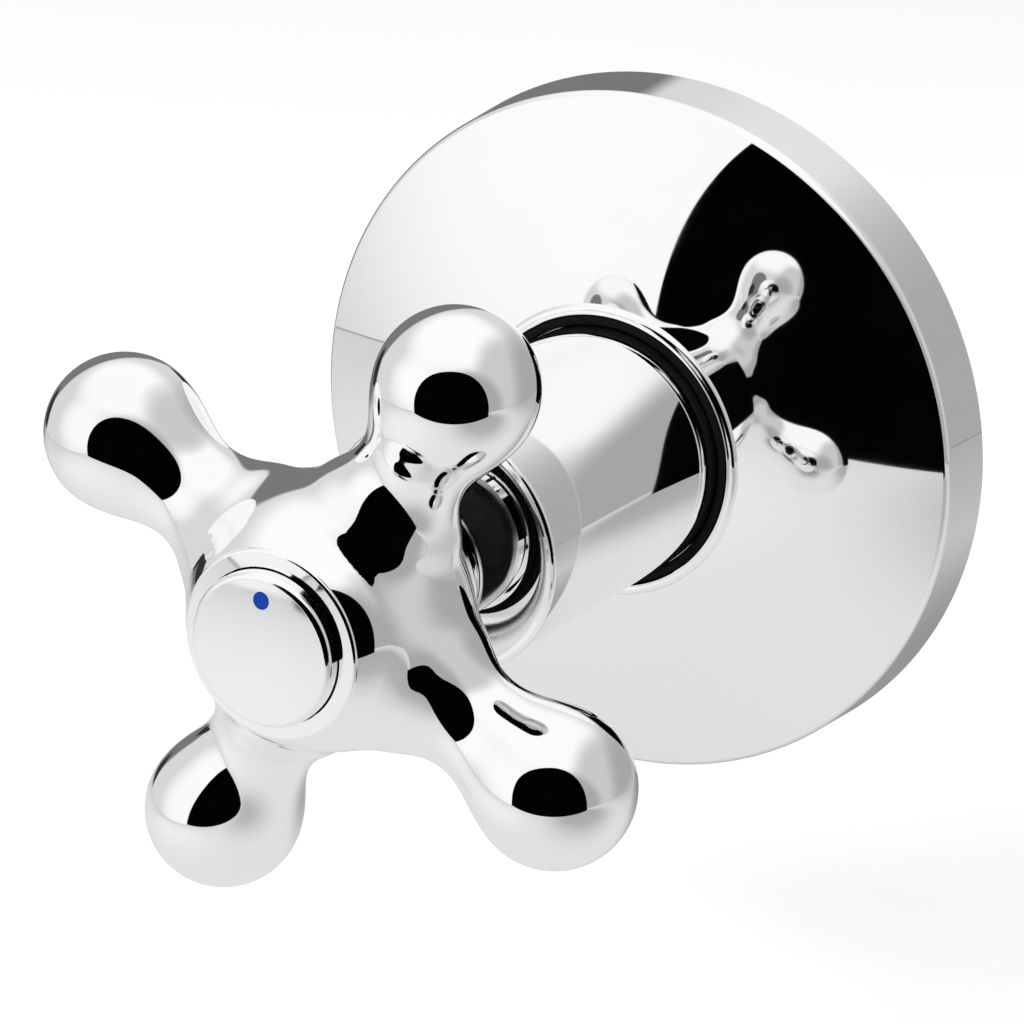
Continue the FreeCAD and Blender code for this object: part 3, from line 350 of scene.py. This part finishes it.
# Outlines as (radius, reach[, bend]), with the reach counted out from the wall
PLATE = [
    (37.5, 0.0), (37.0, 6.7, 1.1), (36.45, 7.6, 110.0),  # rim, bevel and dome
    (15.85, 12.667, 0.7), (14.75, 13.067), (14.75, 11.907),  # collar's bead and ring seat
    (13.65, 11.907), (13.65, 8.307), (16.05, 8.307), (16.05, 11.424, -108.8),  # collar's back
    (35.8, 6.556), (36.3, 0.0), (37.5, 0.0),  # hollow back
]
SLEEVE = [
    (13.53, 4.6), (13.53, 16.0), (13.02, 45.6, 0.5), (12.52, 46.1),  # straight foot, taper and lip
    (12.15, 46.1, 7.5), (9.4, 40.35), (8.75, 40.35), (8.75, 37.75),  # dished mouth and its hole
    (11.3, 37.75), (11.3, 14.03), (12.05, 14.03), (12.05, 4.6), (13.53, 4.6),  # stepped bore
]
# The cap's crown is part of a sphere about a point on the axis
CROWN_CURVE = 78.0
CROWN_CENTRE = -0.097
CAP = [
    (0.0, 76.0), (5.24, 76.0), (5.24, 72.3), (7.48, 72.3),  # hollow skirt
    (7.48, 77.0, 0.6), (6.88, 77.6, CROWN_CURVE), (0.0, CROWN_CENTRE + CROWN_CURVE),  # crowned face
]


def add_turned(name, corners, material, slot, body, node):
    """A piece that is one turned outline."""
    skin = Skin()
    lathe(skin, corners)
    skin.make(name, material, slot, body, node)


add_turned("plate_skin", PLATE, CHROME, "polished_chrome", "fixed", "wall_plate")
add_turned("sleeve_skin", SLEEVE, SLEEVE_CHROME, "polished_chrome", "fixed", "sleeve")
add_turned("cap_skin", CAP, FINISHES["cap_chrome"], "cap_chrome", "turning", "index_cap")


# Index dot: follows the cap's crowned face and stands a hair proud of it
DOT_AROUND = AROUND[::4]
DOT_RADIUS = 0.85
# Radius, rise over the crown and outward tilt of the normal
DOT_RINGS = (
    (0.02, 0.05, 0.0), (0.45, 0.048, 0.02), (0.75, 0.04, 0.05), (0.82, 0.025, 0.6),
    (DOT_RADIUS, 0.0, 3.0), (DOT_RADIUS, -0.3, 9.0),
)


def make_dot():
    """Blue dot let into the cap, with a softened edge."""
    dot = NODES["index_dot"]
    corners = [dot.matrix_world @ Vector(corner) for corner in dot.bound_box]
    middle = sum(corners, Vector()) / len(corners) / MM
    cos, sin = np.cos(DOT_AROUND), np.sin(DOT_AROUND)
    skin = Skin()

    def ring(radius, rise, tilt):
        x, z = middle.x + radius * cos, middle.z + radius * sin
        reach = CROWN_CENTRE + np.sqrt(CROWN_CURVE ** 2 - x * x - z * z) + rise
        normal = np.stack([x / CROWN_CURVE + tilt * cos, -np.ones_like(x),
                           z / CROWN_CURVE + tilt * sin], 1)
        return skin.add_points(np.stack([x, -reach, z], 1)), normal

    rings = [ring(*step) for step in DOT_RINGS]
    count = len(cos)
    for (low, below), (high, above) in zip(rings[1:], rings):
        for k in range(count):
            n = (k + 1) % count
            skin.add_face((low[k], low[n], high[n], high[k]),
                          (below[k], below[n], above[n], above[k]))
    skin.add_face(*rings[0])
    skin.add_face(rings[-1][0][::-1], [(0.0, 1.0, 0.0)] * count)
    skin.make("dot_skin", FINISHES["cold_blue"], "cold_blue", "turning", "index_dot")


make_dot()


# Cross handle: four ball-ended arms and a hub, blended as a polished casting is
REST_ANGLE = math.radians(29.4)
BALL_REACH = 64.55
BALL_RADIUS = 7.7
BALL_DISTANCE = 26.9
BALL_BLEND = 5.5
# An arm is thinnest at its waist, swells from there to its root, and ends inside its ball
WAIST_RADIUS = 5.04
WAIST_DISTANCE = 18.6
WAIST_EASE = 2.0
WAIST_END = 0.0065
ROOT_CURVE = 8.95
ROOT_EASE = 1.14
ROOT_RADIUS = 7.0
# The hub's belly is an arc that bulges by HUB_BELLY between its rear and its front
HUB_RADIUS = 9.25
HUB_BELLY = 3.85
HUB_REAR = 55.3
HUB_FRONT = 75.55
HUB_MIDDLE = (HUB_REAR + HUB_FRONT) / 2
HUB_CURVE = ((HUB_FRONT - HUB_MIDDLE) ** 2 + HUB_BELLY ** 2) / (2 * HUB_BELLY)
HUB_OFFSET = HUB_RADIUS + HUB_BELLY - HUB_CURVE
# The flare is the hollow curve from the neck to the hub, and ends inside the hub
FLARE_CURVE = 27.0
FLARE_CENTRE = (34.45, 45.6)
FLARE_LIMIT = 54.0
FLARE_END = 0.02
# Widths of the blends between arm and arm, arm and hub, and flare and hub
ARM_BLEND = 4.1
HUB_BLEND = 4.8
NECK_BLEND = 3.0
NO_BLEND = 0.001
# The net is cut at two seams, where turned sections join it, and the arms' blend fades out before
# the seam at the rim
RIM_SEAM = 75.45
RIM_RADIUS = HUB_OFFSET + math.sqrt(HUB_CURVE ** 2 - (RIM_SEAM - HUB_MIDDLE) ** 2)
RIM_CLEAR = 0.2
RIM_FADE = 3.0
NECK_SEAM = 50.0
NECK_RADIUS = FLARE_CENTRE[0] - math.sqrt(FLARE_CURVE ** 2 - (NECK_SEAM - FLARE_CENTRE[1]) ** 2)
CUT_SNAP = 0.02
ON_SEAM = 0.001
# The net's grid, how often its points are pulled onto the surface, and the gap that slopes span
NET_STEP = 0.5
NET_LOW = (-36, -76.6, -36)
NET_HIGH = (36, -48.4, 36)
NET_PULLS = 5
SLOPE_GAP = 0.01
FRONT_BORES = [
    (RIM_RADIUS, RIM_SEAM, HUB_CURVE), (HUB_RADIUS, HUB_FRONT, 0.35), (8.9, 75.9),  # rim's edge
    (7.6, 76.0), (7.6, 71.8), (5.6, 71.8), (5.6, 69.4), (2.75, 69.4), (2.75, 66.2),  # cap and screw
    (6.63, 66.2), (6.63, 51.5), (6.6, 51.5), (6.6, 40.0),  # insert's socket
]
NECK_BEADS = [
    (6.6, 40.0), (6.6, 35.5), (7.85, 35.5), (7.85, 42.0),  # foot
    (7.1, 42.0), (7.1, 43.1), (7.45, 43.1), (7.45, 45.3, -FLARE_CURVE),  # groove and bead
    (NECK_RADIUS, NECK_SEAM),
]


def least(a, b, width):
    """The lesser of two fields, rounded where they come within a width of each other."""
    near = np.maximum(width - np.abs(a - b), 0) / width
    return np.minimum(a, b) - near ** 3 * width / 6


def arm_field(along, across, height):
    """How far points are outside one pair of ball-ended arms."""
    far = np.abs(along)
    rise = np.hypot(across, height)
    inward = WAIST_DISTANCE - far
    swell = (np.hypot(inward, WAIST_EASE) + inward) ** 2 / (8 * ROOT_CURVE)
    limit = WAIST_END * np.maximum(-inward, 0) ** 3
    stem = rise - least(WAIST_RADIUS + swell, ROOT_RADIUS, ROOT_EASE) + limit
    ball = np.hypot(far - BALL_DISTANCE, rise) - BALL_RADIUS
    return least(stem, ball, BALL_BLEND)


def handle_field(points):
    """How far points are outside the handle's body."""
    c, s = math.cos(REST_ANGLE), math.sin(REST_ANGLE)
    x = points[:, 0] * c - points[:, 2] * s
    z = points[:, 0] * s + points[:, 2] * c
    reach = -points[:, 1]
    height = reach - BALL_REACH
    arms = least(arm_field(x, z, height), arm_field(z, x, height), ARM_BLEND)
    radius = np.hypot(x, z)
    flare = FLARE_CURVE - np.hypot(radius - FLARE_CENTRE[0], reach - FLARE_CENTRE[1])
    flare = flare + FLARE_END * np.maximum(reach - FLARE_LIMIT, 0) ** 3
    belly = np.hypot(radius - HUB_OFFSET, reach - HUB_MIDDLE) - HUB_CURVE
    hub = least(flare, belly, NECK_BLEND)
    fade = np.clip((RIM_SEAM - RIM_CLEAR - reach) / RIM_FADE, 0, 1)
    return least(arms, hub, np.maximum(HUB_BLEND * fade * fade * (3 - 2 * fade), NO_BLEND))


def slope_of(field, points):
    """Direction in which a field rises."""
    slope = np.empty_like(points)
    for axis in range(3):
        offset = np.zeros(3)
        offset[axis] = SLOPE_GAP
        slope[:, axis] = (field(points + offset) - field(points - offset)) / (2 * SLOPE_GAP)
    return slope


def net(field, low, high, step):
    """Quads over the surface where a field is 0: one point in each mixed cell of a grid, pulled
    onto the surface."""
    axes = [np.arange(a, b + step, step) for a, b in zip(low, high)]
    grid = np.stack(np.meshgrid(*axes, indexing="ij"), -1)
    value = field(grid.reshape(-1, 3)).reshape(grid.shape[:3])
    cells = tuple(n - 1 for n in value.shape)
    total = np.zeros(cells + (3,))
    count = np.zeros(cells)
    crossings = []
    for axis in range(3):
        ahead = [slice(None)] * 3
        behind = [slice(None)] * 3
        ahead[axis], behind[axis] = slice(1, None), slice(None, -1)
        first, second = value[tuple(behind)], value[tuple(ahead)]
        index = np.argwhere((first < 0) != (second < 0))
        a, b = first[tuple(index.T)], second[tuple(index.T)]
        place = grid[tuple(index.T)].copy()
        place[:, axis] += a / (a - b) * step
        u, v = (axis + 1) % 3, (axis + 2) % 3
        inside_u, inside_v = ((index[:, k] > 0) & (index[:, k] < cells[k]) for k in (u, v))
        keep = inside_u & inside_v
        index, place, rising = index[keep], place[keep], (a < 0)[keep]
        around = []
        for du, dv in ((-1, -1), (0, -1), (0, 0), (-1, 0)):
            cell = index.copy()
            cell[:, u] += du
            cell[:, v] += dv
            np.add.at(total, tuple(cell.T), place)
            np.add.at(count, tuple(cell.T), 1)
            around.append(cell)
        crossings.append((around, rising))
    used = count > 0
    number = np.full(cells, -1)
    number[used] = np.arange(used.sum())
    points = total[used] / count[used][:, None]
    quads = []
    for around, rising in crossings:
        quad = np.stack([number[tuple(cell.T)] for cell in around], 1)
        quads.append(np.where(rising[:, None], quad, quad[:, ::-1]))
    for _ in range(NET_PULLS):
        slope = slope_of(field, points)
        points = points - field(points)[:, None] * slope / (slope ** 2).sum(1, keepdims=True)
    return points, np.concatenate(quads)


def cut_net():
    """Points and faces of the handle's net between its neck and its rim."""
    points, quads = net(handle_field, NET_LOW, NET_HIGH, NET_STEP)
    mesh = bmesh.new()
    corners = [mesh.verts.new(p) for p in points]
    for quad in quads:
        mesh.faces.new([corners[k] for k in quad])
    for place, away in ((-RIM_SEAM, -1), (-NECK_SEAM, 1)):
        geometry = mesh.verts[:] + mesh.edges[:] + mesh.faces[:]
        bmesh.ops.bisect_plane(mesh, geom=geometry, dist=CUT_SNAP, plane_co=(0, place, 0),
                               plane_no=(0, away, 0), clear_outer=True)
    mesh.verts.index_update()
    points = np.array([v.co for v in mesh.verts])
    faces = [[v.index for v in face.verts] for face in mesh.faces]
    mesh.free()
    return points, faces


def round_seam(points, seam, radius):
    """Put a cut edge on its true circle, and return its points in order, with their angles."""
    found = np.flatnonzero(np.abs(points[:, 1] + seam) < ON_SEAM)
    angle = np.arctan2(points[found, 2], points[found, 0]) % (2 * math.pi)
    found = found[np.argsort(angle)]
    angle = np.sort(angle)
    points[found] = np.stack([radius * np.cos(angle), np.full(len(found), -seam),
                              radius * np.sin(angle)], 1)
    return found, angle


def make_handle():
    """Blended body from a net, with its neck and rim turned and joined on."""
    points, faces = cut_net()
    rim, rim_angles = round_seam(points, RIM_SEAM, RIM_RADIUS)
    neck, neck_angles = round_seam(points, NECK_SEAM, NECK_RADIUS)
    normals = slope_of(handle_field, points)
    normals /= np.linalg.norm(normals, axis=1, keepdims=True)
    skin = Skin()
    skin.add_points(points)
    for face in faces:
        skin.add_face(face, normals[face])
    lathe(skin, FRONT_BORES, rim_angles, first_ring=rim)
    lathe(skin, NECK_BEADS, neck_angles, last_ring=neck)
    skin.make("handle_skin", CHROME, "polished_chrome", "turning", "cross_handle")


make_handle()


# Stage
def stage_mesh(name, points, faces, material):
    """A staged sheet, which isn't part of the tap."""
    mesh = bpy.data.meshes.new(name)
    mesh.from_pydata([tuple(c * MM for c in p) for p in points], [], faces)
    mesh.materials.append(material)
    sheet = add_object(name, mesh)
    return sheet


def stage_material(name, grain_scale, dark, light, rough):
    """Graph of a matt material with a faint grey grain."""
    graph = new_material(name)
    grain = graph.noise(grain_scale, FINE_DETAIL)
    graph.look("Base Color", graph.two_tone(grain, (dark,) * 3, (light,) * 3))
    graph.look("Roughness", rough)
    graph.look("Specular IOR Level", 0.0)
    return graph


def aim(azimuth, elevation):
    """Direction toward an azimuth, counted from straight ahead of the tap toward its right, and an
    elevation."""
    a, e = math.radians(azimuth), math.radians(elevation)
    return math.sin(a) * math.cos(e), -math.cos(a) * math.cos(e), math.sin(e)


FLOOR_LEVEL = -65.0
FLOOR_HALF = 6000.0
FLOOR_LIFT = 0.50  # glow added for the camera alone
# The mirrored table, a painted reflection: its y and its painted light there, from near to far
TABLE_DEPTH = (-0.05, 0.16)
TABLE_LIGHT = (0.77, 0.50)
# Its distances from the middle: the dimming toward its edge, the thin dark line, and the edge
TABLE_EDGE = 0.358
TABLE_DIMMING = (0.12, TABLE_EDGE - 0.01)
TABLE_DIMMED = 0.86
TABLE_LINE = (TABLE_EDGE - 0.008, TABLE_EDGE - 0.003)
TABLE_LINE_LIGHT = 0.55
# Its painted pool of light and painted shadows: x, y, full within, gone beyond, brightness there
TABLE_PAINTED_LIGHT_AND_SHADOWS = (
    (-0.11, -0.19, 0.03, 0.17, 1.18),
    (0.17, -0.13, 0.05, 0.15, 0.58),
    (-0.27, 0.15, 0.05, 0.12, 0.35),
    (0.0, 0.07, 0.03, 0.10, 0.5),
)


def make_floor():
    """Pale floor, lifted to white for the camera and still darker in the tap's shadow. The chrome
    mirrors it as a pale table with a thin dark edge: a painted reflection that glows, with painted
    light that is brighter near and darker far off, a painted pool of light and painted shadows."""
    graph = stage_material("stage_floor", grain_scale=4, dark=0.80, light=0.82, rough=0.9)
    path = graph.new("LightPath")
    lift = graph.math("MULTIPLY", path.outputs["Is Camera Ray"], FLOOR_LIFT)
    graph.look("Emission Color", (1, 1, 1, 1))
    graph.look("Emission Strength", lift)
    place = graph.place()
    x, y, _ = graph.split(place)
    distance = graph.length(x, y)
    painted_table = graph.math("MULTIPLY", graph.ramp(y, *TABLE_DEPTH, *TABLE_LIGHT),
                       graph.ramp(distance, *TABLE_DIMMING, 1.0, TABLE_DIMMED))
    # Multiply in the painted pool of light and the painted shadows
    for tone_x, tone_y, inner, outer, brightness in TABLE_PAINTED_LIGHT_AND_SHADOWS:
        away = graph.new("VectorMath")
        away.operation = "DISTANCE"
        graph.give(away.inputs[0], place)
        graph.give(away.inputs[1], (tone_x, tone_y, FLOOR_LEVEL * MM))
        tone = graph.ramp(away.outputs["Value"], inner, outer, brightness, 1.0)
        painted_table = graph.math("MULTIPLY", painted_table, tone)
    painted_table = graph.math("MULTIPLY", painted_table, graph.ramp(distance, *TABLE_LINE, 1.0, TABLE_LINE_LIGHT))
    # Glow seen by the chrome alone, standing in for the lit table: painted light
    glow = graph.new("Emission")
    graph.give(glow.inputs["Strength"], painted_table)
    clear = graph.new("BsdfTransparent")
    beyond = graph.math("GREATER_THAN", distance, TABLE_EDGE)
    painted_reflection = graph.mix(beyond, glow.outputs[0], clear.outputs[0])
    seen = graph.mix(path.outputs["Is Glossy Ray"], graph.shader.outputs[0], painted_reflection)
    graph.give(graph.nodes["Material Output"].inputs["Surface"], seen)
    h, z = FLOOR_HALF, FLOOR_LEVEL
    corners = [(-h, -h, z), (h, -h, z), (h, h, z), (-h, h, z)]
    stage_mesh("floor", corners, [(0, 1, 2, 3)], graph.owner)


# The card: where it stands round the tap, its middle along its width, and its arch
CARD_AZIMUTH = 27.0
CARD_DISTANCE = 200.0
CARD_MIDDLE = -40.0
CARD_HALF_WIDTH = 164.0
CARD_BASE = -52.0
CARD_HEIGHT = 193.0
CARD_SQUARENESS = 0.80
CARD_STEPS = 96


def make_card():
    """Black arched card in front of the tap, seen only as a reflection in the chrome."""
    graph = stage_material("stage_card", grain_scale=30, dark=0.001, light=0.002, rough=1.0)
    ahead = np.array(aim(CARD_AZIMUTH, 0))
    across = np.array(aim(CARD_AZIMUTH + 90, 0))
    points = []
    for k in range(CARD_STEPS + 1):
        angle = math.pi * k / CARD_STEPS
        rise = CARD_HEIGHT * math.sin(angle) ** CARD_SQUARENESS
        wide = math.copysign(abs(math.cos(angle)) ** CARD_SQUARENESS, math.cos(angle))
        side = CARD_MIDDLE + CARD_HALF_WIDTH * wide
        up = np.array([0, 0, CARD_BASE + rise])
        points.append(tuple(ahead * CARD_DISTANCE + across * side + up))
    card = stage_mesh("dark_card", points, [tuple(range(len(points)))], graph.owner)
    card.visible_camera = False
    card.visible_diffuse = False
    card.visible_shadow = False
    card.visible_transmission = False


# What the chrome mirrors of the room: direction, angle held to, angle faded out at, brightness
MIRROR_BASE = 0.70
MIRROR_LOBES = (
    (aim(0, 90), 35, 62, 1.0),
    (aim(110, 10), 35, 60, 0.60),
    (aim(150, -5), 15, 45, 0.40),
    (aim(40, -12), 44, 60, 0.40),
    (aim(-134, 7), 22, 27, 0.19),
    (aim(-167, -3), 8, 11, 0.02),
    (aim(-115, -6), 7, 10, 0.03),
    (aim(-33, 15), 5, 48, 1.0),
)
DIFFUSE_LIGHT = 0.45


def make_world():
    """White studio for the camera, soft even light, and a grey and white pattern for the chrome to
    mirror."""
    world = bpy.data.worlds.new("studio")
    bpy.context.scene.world = world
    graph = Graph(world, "Background")
    path = graph.new("LightPath")
    where = graph.new("TexCoord")
    pattern = MIRROR_BASE
    for direction, inner, outer, brightness in MIRROR_LOBES:
        toward = graph.new("VectorMath")
        toward.operation = "DOT_PRODUCT"
        graph.give(toward.inputs[0], where.outputs["Generated"])
        graph.give(toward.inputs[1], direction)
        share = graph.ramp(toward.outputs["Value"], math.cos(math.radians(outer)),
                           math.cos(math.radians(inner)))
        change = graph.math("MULTIPLY", graph.math("SUBTRACT", brightness, pattern), share)
        pattern = graph.math("ADD", pattern, change)
    mirror = graph.math("MULTIPLY", path.outputs["Is Glossy Ray"], pattern)
    plain = graph.math("ADD", path.outputs["Is Camera Ray"], path.outputs["Is Transmission Ray"])
    light = graph.math("MULTIPLY", path.outputs["Is Diffuse Ray"], DIFFUSE_LIGHT)
    graph.look("Strength", graph.math("ADD", graph.math("ADD", mirror, plain), light))
    graph.look("Color", (1, 1, 1, 1))


def turn_along(thing, way):
    """Turn a lamp or camera to look along a way."""
    thing.rotation_mode = "QUATERNION"
    thing.rotation_quaternion = way.to_track_quat("-Z", "Y")


LAMP_TARGET = (0, -35, 0)
LAMP_SIZE = 0.5


def soft_lamp(name, place, power):
    """A large soft area lamp aimed at the handle, not itself mirrored in the chrome."""
    data = bpy.data.lights.new(name, "AREA")
    data.shape = "DISK"
    data.size = LAMP_SIZE
    data.energy = power
    lamp = add_object(name, data)
    lamp.location = Vector(place) * MM
    turn_along(lamp, Vector(LAMP_TARGET) * MM - lamp.location)
    lamp.visible_glossy = False
    lamp.visible_camera = False


CAMERA_PLACE = (181.02, -347.57, 130.12)
CAMERA_AZIMUTH = 29.80
CAMERA_ELEVATION = 19.79
CAMERA_LENS = 135.58
CAMERA_SENSOR = 36.0
CAMERA_NEAR = 0.01
CAMERA_FAR = 50.0


def make_camera():
    """Camera at the photograph's viewing angle."""
    data = bpy.data.cameras.new("camera")
    data.sensor_width = CAMERA_SENSOR
    data.lens = CAMERA_LENS
    data.clip_start = CAMERA_NEAR
    data.clip_end = CAMERA_FAR
    camera = add_object("camera", data)
    camera.location = Vector(CAMERA_PLACE) * MM
    turn_along(camera, -Vector(aim(CAMERA_AZIMUTH, CAMERA_ELEVATION)))
    bpy.context.scene.camera = camera


make_floor()
make_card()
make_world()
soft_lamp("key_lamp", (-350, -450, 600), 2.2)
soft_lamp("fill_lamp", (500, -300, 350), 1.2)
make_camera()
bpy.context.scene.view_settings.view_transform = "Standard"
